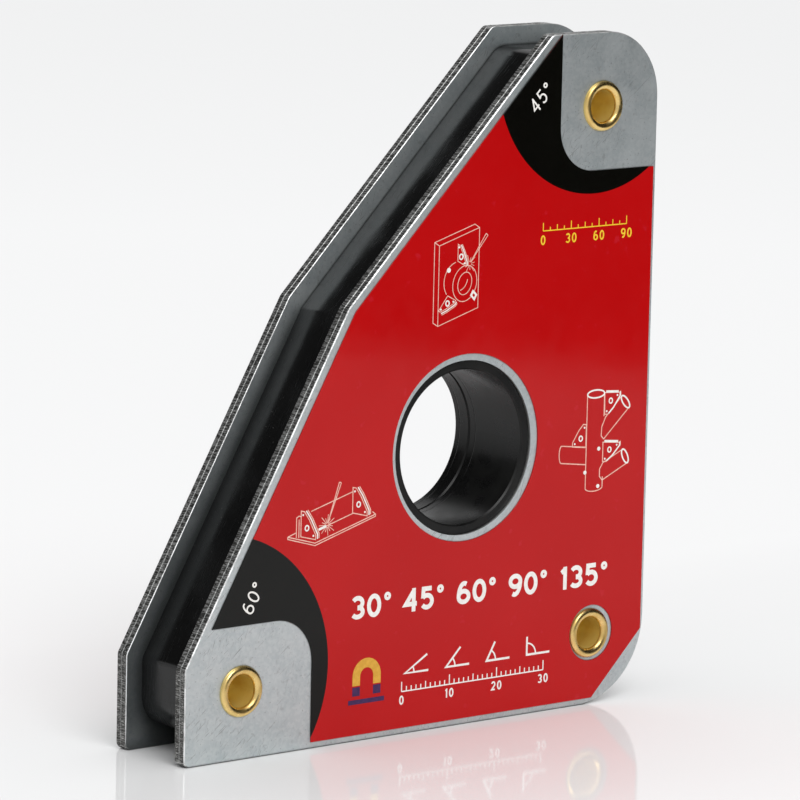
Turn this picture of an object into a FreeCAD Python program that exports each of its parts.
import FreeCAD, Part
import os
from math import cos, radians, sin, sqrt, tan

# Multi-angle magnetic welding square: two laminated steel side plates riveted over a moulded spacer that
# holds ferrite blocks, with a moulded liner in the centre hole and a printed label on each side.
#
# Frame: millimetres. +Z is up and the square stands on its bottom edges at Z = 0. The front face looks
# towards -Y and +X is to the right of someone who looks at it. The origin is under the middle of the plates.

# Outline of the steel plates
LEFT_EDGE_HEIGHT = 15.5
STEEP_EDGE_LENGTH = 62.7
SLOPE_EDGE_LENGTH = 58.2
TOP_EDGE_LENGTH = 22.95
STEEP_ANGLE = 60.0
SLOPE_ANGLE = 45.0
BOTTOM_LEFT_RADIUS = 1.2
BOTTOM_RIGHT_RADIUS = 14.0
TOP_RIGHT_RADIUS = 11.0
TOP_LEFT_RADIUS = 1.5
BEND_RADIUS = 2.0
SHOULDER_RADIUS = 1.5

# Steel laminations, two to a side
SHEET_THICKNESS = 1.25
FACE_BREAK = 0.16
LAMINATION_BREAK = 0.10

# Moulded spacer between the side plates
SPACER_THICKNESS = 12.6
SPACER_INSET = 3.1
SPACER_WALL = 2.4
SPACER_BOTTOM_LEFT_RADIUS = 5.5
SPACER_TOP_LEFT_RADIUS = 4.0
SPACER_BEND_RADIUS = 1.5
SPACER_SHOULDER_RADIUS = 2.0
BOSS_WALL = 2.8

# Ferrite blocks, each in a pocket that goes right through the spacer
MAGNET_WIDTH = 10.0
MAGNET_CORNER_BREAK = 0.6
MAGNET_END_GAP = 0.1
POCKET_CLEARANCE = 0.15
POCKET_RIB = 1.7
ROW_WEB = 1.2
SLANT_ROW_COUNT = 2
RIGHT_ROW_COUNT = 3
BOTTOM_ROW_COUNT = 2

# Centre hole and its two-piece liner
BORE_RADIUS = 12.6
LIP_WIDTH = 1.5
LIP_CLEARANCE = 0.1
LIP_RECESS = 0.5
LINER_SHOULDER = 1.4
LINER_END_CLEARANCE = 0.05
LINER_HOLE_CLEARANCE = 0.15
LINER_BREAK = 0.25
JOINT_FROM_REAR_FACE = 4.2
JOINT_OVERLAP = 1.6
JOINT_GAP = 0.08
TONGUE_WALL = 1.3
STEEP_WEB = 1.7
SLOPE_WEB = 2.9

# Tubular rivets
RIVET_BORE_RADIUS = 2.6
RIVET_WALL = 0.5
RIVET_RIM_RADIUS = 4.1
RIVET_ROLL_RADIUS = 0.65
RIVET_HOLE_CLEARANCE = 0.1
RIGHT_RIVET_INSET = 12.0
LEFT_RIVET_INSET = 11.0

# Printed labels
LABEL_THICKNESS = 0.15
LABEL_MARGIN = 1.05
LABEL_SHIFT = 0.4
LABEL_CORNER_CUT = 10.5
LABEL_HOLE_MARGIN = 0.55
LABEL_RING_MARGIN = 1.05
TOP_PATCH_WIDTH = 21.5
TOP_PATCH_HEIGHT = 22.5
BOTTOM_PATCH_WIDTH = 24.75
BOTTOM_PATCH_HEIGHT = 21.5
PATCH_RADIUS = 7.4

# Sizes that follow
STEEP_RISE = STEEP_EDGE_LENGTH * sin(radians(STEEP_ANGLE))
STEEP_RUN = STEEP_EDGE_LENGTH * cos(radians(STEEP_ANGLE))
SLOPE_RISE = SLOPE_EDGE_LENGTH * sin(radians(SLOPE_ANGLE))
SLOPE_RUN = SLOPE_EDGE_LENGTH * cos(radians(SLOPE_ANGLE))
WIDTH = STEEP_RUN + SLOPE_RUN + TOP_EDGE_LENGTH
HEIGHT = LEFT_EDGE_HEIGHT + STEEP_RISE + SLOPE_RISE
LEFT = -WIDTH / 2
RIGHT = WIDTH / 2
HALF_SPACER = SPACER_THICKNESS / 2
HALF_DEPTH = HALF_SPACER + 2 * SHEET_THICKNESS
RIVET_OUTER_RADIUS = RIVET_BORE_RADIUS + RIVET_WALL
RIVET_HOLE_RADIUS = RIVET_OUTER_RADIUS + RIVET_HOLE_CLEARANCE
LIP_RADIUS = BORE_RADIUS + LIP_WIDTH
PLATE_HOLE_RADIUS = LIP_RADIUS + LIP_CLEARANCE
LINER_RADIUS = LIP_RADIUS + LINER_SHOULDER
SPACER_HOLE_RADIUS = LINER_RADIUS + LINER_HOLE_CLEARANCE
POCKET_WIDTH = MAGNET_WIDTH + 2 * POCKET_CLEARANCE
ROW_OUTER = SPACER_INSET + SPACER_WALL
ROW_INNER = ROW_OUTER + POCKET_WIDTH

# The two slanting working edges: where each starts, its direction up the edge and the direction into the plate
SHOULDER = FreeCAD.Vector(LEFT, 0, LEFT_EDGE_HEIGHT)
BEND = SHOULDER + FreeCAD.Vector(STEEP_RUN, 0, STEEP_RISE)
STEEP_ALONG = FreeCAD.Vector(cos(radians(STEEP_ANGLE)), 0, sin(radians(STEEP_ANGLE)))
STEEP_INWARD = FreeCAD.Vector(STEEP_ALONG.z, 0, -STEEP_ALONG.x)
SLOPE_ALONG = FreeCAD.Vector(cos(radians(SLOPE_ANGLE)), 0, sin(radians(SLOPE_ANGLE)))
SLOPE_INWARD = FreeCAD.Vector(SLOPE_ALONG.z, 0, -SLOPE_ALONG.x)

RIVETS = {
    "top_right": FreeCAD.Vector(RIGHT - RIGHT_RIVET_INSET, 0, HEIGHT - RIGHT_RIVET_INSET),
    "bottom_right": FreeCAD.Vector(RIGHT - RIGHT_RIVET_INSET, 0, RIGHT_RIVET_INSET),
    "bottom_left": FreeCAD.Vector(LEFT + LEFT_RIVET_INSET, 0, LEFT_RIVET_INSET),
}


def line_crossing(point_a, along_a, point_b, along_b):
    """The point where two lines in the XZ plane cross."""
    across = FreeCAD.Vector(along_b.z, 0, -along_b.x)
    return point_a + along_a * ((point_b - point_a).dot(across) / along_a.dot(across))


def hole_centre():
    """The centre of the hole: one web of plastic from each of the two slanting rows of pockets."""
    from_steep = ROW_INNER + STEEP_WEB + SPACER_HOLE_RADIUS
    from_slope = ROW_INNER + SLOPE_WEB + SPACER_HOLE_RADIUS
    on_steep = BEND + STEEP_INWARD * from_steep
    on_slope = BEND + SLOPE_INWARD * from_slope
    return line_crossing(on_steep, STEEP_ALONG, on_slope, SLOPE_ALONG)


HOLE = hole_centre()


def plate_corners():
    """The outline's sharp corners, anticlockwise seen from the front, from the bottom left."""
    return [
        FreeCAD.Vector(LEFT, 0, 0),
        FreeCAD.Vector(RIGHT, 0, 0),
        FreeCAD.Vector(RIGHT, 0, HEIGHT),
        FreeCAD.Vector(RIGHT - TOP_EDGE_LENGTH, 0, HEIGHT),
        BEND,
        SHOULDER,
    ]


def inset_corners(corners, inset):
    """The corners of the same outline with every side moved inwards by the inset."""
    moved = []
    for index, corner in enumerate(corners):
        before = (corner - corners[index - 1]).normalize()
        after = (corners[(index + 1) % len(corners)] - corner).normalize()
        inward_before = FreeCAD.Vector(-before.z, 0, before.x)
        inward_after = FreeCAD.Vector(-after.z, 0, after.x)
        moved.append(line_crossing(corner + inward_before * inset, before, corner + inward_after * inset, after))
    return moved


def rounded_prism(corners, radii, y_front, y_rear):
    """A solid from y_front to y_rear whose outline has these corners, each with its own radius or sharp."""
    starts = []
    ends = []
    middles = []
    for index, corner in enumerate(corners):
        before = (corners[index - 1] - corner).normalize()
        after = (corners[(index + 1) % len(corners)] - corner).normalize()
        half_angle = before.getAngle(after) / 2
        reach = radii[index] / tan(half_angle)
        bisector = (before + after).normalize()
        starts.append(corner + before * reach)
        ends.append(corner + after * reach)
        middles.append(corner + bisector * (radii[index] / sin(half_angle) - radii[index]))
    edges = []
    for index, radius in enumerate(radii):
        if radius > 0:
            edges.append(Part.Arc(starts[index], middles[index], ends[index]).toShape())
        edges.append(Part.LineSegment(ends[index], starts[(index + 1) % len(corners)]).toShape())
    face = Part.Face(Part.Wire(edges))
    face.translate(FreeCAD.Vector(0, y_front, 0))
    return face.extrude(FreeCAD.Vector(0, y_rear - y_front, 0))


def through_cylinder(centre, radius):
    """A cutter along Y that is longer than the whole square is deep."""
    length = 4 * HALF_DEPTH
    base = FreeCAD.Vector(centre.x, -length / 2, centre.z)
    return Part.makeCylinder(radius, length, base, FreeCAD.Vector(0, 1, 0))


def revolved(profile, centre):
    """A ring around the Y axis through the centre, from edges drawn with X as the radius."""
    face = Part.Face(Part.Wire(profile))
    ring = face.revolve(FreeCAD.Vector(0, 0, 0), FreeCAD.Vector(0, 1, 0), 360)
    ring.translate(FreeCAD.Vector(centre.x, 0, centre.z))
    return ring


def closed_profile(points):
    """Straight edges that join (radius, y) points and return to the first."""
    corners = [FreeCAD.Vector(radius, y, 0) for radius, y in points]
    return [Part.LineSegment(corners[i - 1], corners[i]).toShape() for i in range(len(corners))]


def outline_edges(solid, y):
    """The edges of the outer outline that lie in the plane at y, without those of the round holes."""
    face = next(f for f in solid.Faces if all(abs(v.Y - y) < 1e-6 for v in f.Vertexes))
    return face.OuterWire.Edges


def steel_sheet(y_front, y_rear, front_break, rear_break):
    """One punched lamination, with its burr broken by a small chamfer along both rims."""
    radii = [
        BOTTOM_LEFT_RADIUS,
        BOTTOM_RIGHT_RADIUS,
        TOP_RIGHT_RADIUS,
        TOP_LEFT_RADIUS,
        BEND_RADIUS,
        SHOULDER_RADIUS,
    ]
    sheet = rounded_prism(plate_corners(), radii, y_front, y_rear)
    sheet = sheet.makeChamfer(front_break, outline_edges(sheet, y_front))
    sheet = sheet.makeChamfer(rear_break, outline_edges(sheet, y_rear))
    sheet = sheet.cut(through_cylinder(HOLE, PLATE_HOLE_RADIUS))
    for centre in RIVETS.values():
        sheet = sheet.cut(through_cylinder(centre, RIVET_HOLE_RADIUS))
    return sheet


def side_plates():
    """The two sheets of the front side and the two of the rear side."""
    middle = HALF_SPACER + SHEET_THICKNESS
    return {
        "front_outer_plate": steel_sheet(-HALF_DEPTH, -middle, FACE_BREAK, LAMINATION_BREAK),
        "front_inner_plate": steel_sheet(-middle, -HALF_SPACER, LAMINATION_BREAK, LAMINATION_BREAK),
        "rear_inner_plate": steel_sheet(HALF_SPACER, middle, LAMINATION_BREAK, LAMINATION_BREAK),
        "rear_outer_plate": steel_sheet(middle, HALF_DEPTH, LAMINATION_BREAK, FACE_BREAK),
    }


def along_edge(point, start, along):
    """How far up an edge a point lies."""
    return (point - start).dot(along)


def magnet_rows():
    """Each row of ferrite blocks: where its pockets can begin and end along an edge, and how many it holds."""
    boss = RIVET_HOLE_RADIUS + BOSS_WALL
    keep_out = boss + ROW_WEB
    bend_loss = ROW_INNER * tan(radians(STEEP_ANGLE - SLOPE_ANGLE) / 2) + ROW_WEB / 2
    clear_of_bottom_row = ROW_INNER + ROW_WEB - (LEFT_EDGE_HEIGHT - ROW_INNER * STEEP_ALONG.x)
    steep_start = max(
        along_edge(RIVETS["bottom_left"], SHOULDER, STEEP_ALONG) + keep_out,
        clear_of_bottom_row / STEEP_ALONG.z,
    )
    slope_end = min(
        along_edge(RIVETS["top_right"], BEND, SLOPE_ALONG) - keep_out,
        (HEIGHT - BEND.z - ROW_OUTER) / SLOPE_ALONG.z + ROW_OUTER,
    )
    up = FreeCAD.Vector(0, 0, 1)
    right = FreeCAD.Vector(1, 0, 0)
    bottom_left = FreeCAD.Vector(LEFT, 0, 0)
    bottom_right = FreeCAD.Vector(RIGHT, 0, 0)
    return {
        "steep": (SHOULDER, STEEP_ALONG, STEEP_INWARD, steep_start, STEEP_EDGE_LENGTH - bend_loss, SLANT_ROW_COUNT),
        "slope": (BEND, SLOPE_ALONG, SLOPE_INWARD, bend_loss, slope_end, SLANT_ROW_COUNT),
        "right": (
            bottom_right,
            up,
            -right,
            RIVETS["bottom_right"].z + keep_out,
            RIVETS["top_right"].z - keep_out,
            RIGHT_ROW_COUNT,
        ),
        "bottom": (
            bottom_left,
            right,
            up,
            RIVETS["bottom_left"].x - LEFT + keep_out,
            RIVETS["bottom_right"].x - LEFT - keep_out,
            BOTTOM_ROW_COUNT,
        ),
    }


def pocket_length(rows):
    """One length for every pocket, so that every block is the same: the longest that the tightest row can take."""
    return min((end - start - (count - 1) * POCKET_RIB) / count for _, _, _, start, end, count in rows.values())


def block(centre, along, inward, length, width, thickness):
    """A rectangular block whose length runs along the edge and whose thickness runs along Y."""
    corners = []
    for side_a, side_b in ((-1, -1), (1, -1), (1, 1), (-1, 1)):
        corners.append(centre + along * (side_a * length / 2) + inward * (side_b * width / 2))
    return rounded_prism(corners, [0, 0, 0, 0], -thickness / 2, thickness / 2)


def magnets_and_pockets():
    """The ferrite blocks by name, and the cutters for the pockets they sit in."""
    rows = magnet_rows()
    length = pocket_length(rows)
    magnets = {}
    pockets = []
    for row, (origin, along, inward, start, end, count) in rows.items():
        filled = count * length + (count - 1) * POCKET_RIB
        first = (start + end - filled) / 2 + length / 2
        for index in range(count):
            depth = (ROW_OUTER + ROW_INNER) / 2
            centre = origin + along * (first + index * (length + POCKET_RIB)) + inward * depth
            pockets.append(block(centre, along, inward, length, POCKET_WIDTH, 2 * SPACER_THICKNESS))
            magnet = block(
                centre,
                along,
                inward,
                length - 2 * POCKET_CLEARANCE,
                MAGNET_WIDTH,
                SPACER_THICKNESS - 2 * MAGNET_END_GAP,
            )
            upright = [edge for edge in magnet.Edges if abs(edge.tangentAt(edge.FirstParameter).y) > 0.5]
            magnets[f"magnet_{row}_{index + 1}"] = magnet.makeChamfer(MAGNET_CORNER_BREAK, upright)
    return magnets, pockets


def moulded_spacer(pockets):
    """The black spacer: set back from the plates' edges, with pockets, rivet holes and the liner's hole."""
    corners = inset_corners(plate_corners(), SPACER_INSET)
    radii = [
        SPACER_BOTTOM_LEFT_RADIUS,
        BOTTOM_RIGHT_RADIUS - SPACER_INSET,
        TOP_RIGHT_RADIUS - SPACER_INSET,
        SPACER_TOP_LEFT_RADIUS,
        SPACER_BEND_RADIUS,
        SPACER_SHOULDER_RADIUS,
    ]
    spacer = rounded_prism(corners, radii, -HALF_SPACER, HALF_SPACER)
    spacer = spacer.cut(through_cylinder(HOLE, SPACER_HOLE_RADIUS))
    for centre in RIVETS.values():
        spacer = spacer.cut(through_cylinder(centre, RIVET_HOLE_RADIUS))
    for pocket in pockets:
        spacer = spacer.cut(pocket)
    return spacer


def hole_liner():
    """The liner's front and rear halves: each is trapped between a side plate and the other half."""
    front_lip = -HALF_DEPTH + LIP_RECESS
    rear_lip = HALF_DEPTH - LIP_RECESS
    shoulder = HALF_SPACER - LINER_END_CLEARANCE
    joint = HALF_DEPTH - JOINT_FROM_REAR_FACE
    skirt = joint - JOINT_OVERLAP
    tongue = BORE_RADIUS + TONGUE_WALL
    front = [
        (BORE_RADIUS, front_lip + LINER_BREAK),
        (BORE_RADIUS + LINER_BREAK, front_lip),
        (LIP_RADIUS, front_lip),
        (LIP_RADIUS, -shoulder),
        (LINER_RADIUS, -shoulder),
        (LINER_RADIUS, skirt),
        (tongue, skirt),
        (tongue, joint),
        (BORE_RADIUS + LINER_BREAK, joint),
        (BORE_RADIUS, joint - LINER_BREAK),
    ]
    rear = [
        (BORE_RADIUS, joint + JOINT_GAP + LINER_BREAK),
        (BORE_RADIUS + LINER_BREAK, joint + JOINT_GAP),
        (tongue + JOINT_GAP, joint + JOINT_GAP),
        (tongue + JOINT_GAP, skirt + JOINT_GAP),
        (LINER_RADIUS, skirt + JOINT_GAP),
        (LINER_RADIUS, shoulder),
        (LIP_RADIUS, shoulder),
        (LIP_RADIUS, rear_lip),
        (BORE_RADIUS + LINER_BREAK, rear_lip),
        (BORE_RADIUS, rear_lip - LINER_BREAK),
    ]
    return {
        "front_liner": revolved(closed_profile(front), HOLE),
        "rear_liner": revolved(closed_profile(rear), HOLE),
    }


def rivet_roll(face_y, outward):
    """The half-round roll on one end of a rivet, from the plate over the crest and down into the bore."""
    crest_radius = RIVET_RIM_RADIUS - RIVET_ROLL_RADIUS
    lead_in = crest_radius - RIVET_BORE_RADIUS
    half_chord = sqrt(0.5)
    crest_y = face_y + outward * RIVET_ROLL_RADIUS
    rim = FreeCAD.Vector(RIVET_RIM_RADIUS, face_y, 0)
    crest = FreeCAD.Vector(crest_radius, crest_y, 0)
    bore = FreeCAD.Vector(RIVET_BORE_RADIUS, crest_y - outward * lead_in, 0)
    outer_middle = FreeCAD.Vector(
        crest_radius + RIVET_ROLL_RADIUS * half_chord,
        face_y + outward * RIVET_ROLL_RADIUS * half_chord,
        0,
    )
    inner_middle = FreeCAD.Vector(
        crest_radius - lead_in * half_chord,
        bore.y + outward * lead_in * half_chord,
        0,
    )
    outer = Part.Arc(rim, outer_middle, crest).toShape()
    inner = Part.Arc(crest, inner_middle, bore).toShape()
    return rim, bore, [outer, inner]


def tubular_rivet(centre):
    """A brass tube through the whole stack, with a roll at each end that clamps the side plates."""
    front_rim, front_bore, front_roll = rivet_roll(-HALF_DEPTH, -1)
    rear_rim, rear_bore, rear_roll = rivet_roll(HALF_DEPTH, 1)
    front_foot = FreeCAD.Vector(RIVET_OUTER_RADIUS, -HALF_DEPTH, 0)
    rear_foot = FreeCAD.Vector(RIVET_OUTER_RADIUS, HALF_DEPTH, 0)
    profile = [
        *front_roll,
        Part.LineSegment(front_bore, rear_bore).toShape(),
        *reversed(rear_roll),
        Part.LineSegment(rear_rim, rear_foot).toShape(),
        Part.LineSegment(rear_foot, front_foot).toShape(),
        Part.LineSegment(front_foot, front_rim).toShape(),
    ]
    return revolved(profile, centre)


def printed_label(y_front, y_rear):
    """A vinyl label: the plate's outline less a margin, with two steel corners left bare and one corner cut."""
    edge = inset_corners(plate_corners(), LABEL_MARGIN)
    bottom_left, bottom_right, top_right, _, bend, shoulder = edge
    bottom_patch_x = LEFT + BOTTOM_PATCH_WIDTH
    top_patch_x = RIGHT - TOP_PATCH_WIDTH
    top_patch_z = HEIGHT - TOP_PATCH_HEIGHT
    steep_foot = shoulder + STEEP_ALONG * ((BOTTOM_PATCH_HEIGHT - shoulder.z) / STEEP_ALONG.z)
    slope_top = bend + SLOPE_ALONG * ((top_patch_x - bend.x) / SLOPE_ALONG.x)
    corners = [
        FreeCAD.Vector(bottom_patch_x, 0, bottom_left.z),
        FreeCAD.Vector(bottom_right.x - LABEL_CORNER_CUT, 0, bottom_right.z),
        FreeCAD.Vector(bottom_right.x, 0, bottom_right.z + LABEL_CORNER_CUT),
        FreeCAD.Vector(top_right.x, 0, top_patch_z),
        FreeCAD.Vector(top_patch_x, 0, top_patch_z),
        slope_top,
        bend,
        steep_foot,
        FreeCAD.Vector(bottom_patch_x, 0, BOTTOM_PATCH_HEIGHT),
    ]
    radii = [0, 0, 0, 0, PATCH_RADIUS, 0, BEND_RADIUS, 0, PATCH_RADIUS]
    label = rounded_prism(corners, radii, y_front, y_rear)
    label = label.cut(through_cylinder(HOLE, PLATE_HOLE_RADIUS + LABEL_RING_MARGIN))
    label = label.cut(through_cylinder(RIVETS["bottom_right"], RIVET_RIM_RADIUS + LABEL_HOLE_MARGIN))
    label.translate(FreeCAD.Vector(LABEL_SHIFT, 0, 0))
    return label


def build():
    """Every piece by name."""
    magnets, pockets = magnets_and_pockets()
    pieces = side_plates()
    pieces["moulded_spacer"] = moulded_spacer(pockets)
    pieces.update(hole_liner())
    for place, centre in RIVETS.items():
        pieces[f"rivet_{place}"] = tubular_rivet(centre)
    pieces["front_label"] = printed_label(-HALF_DEPTH - LABEL_THICKNESS, -HALF_DEPTH)
    pieces["rear_label"] = printed_label(HALF_DEPTH, HALF_DEPTH + LABEL_THICKNESS)
    pieces.update(magnets)
    return pieces


os.makedirs("parts", exist_ok=True)
for name, shape in build().items():
    shape.exportStep(f"parts/{name}.step")
    print(f"{name}: {shape.Volume:.1f} mm3, valid {shape.isValid()}, solids {len(shape.Solids)}")
print(f"width {WIDTH:.2f}, height {HEIGHT:.2f}, plates' depth {2 * HALF_DEPTH:.2f}")
print(f"hole centre {HOLE.x - LEFT:.2f} from the left, {HOLE.z:.2f} from the bottom")
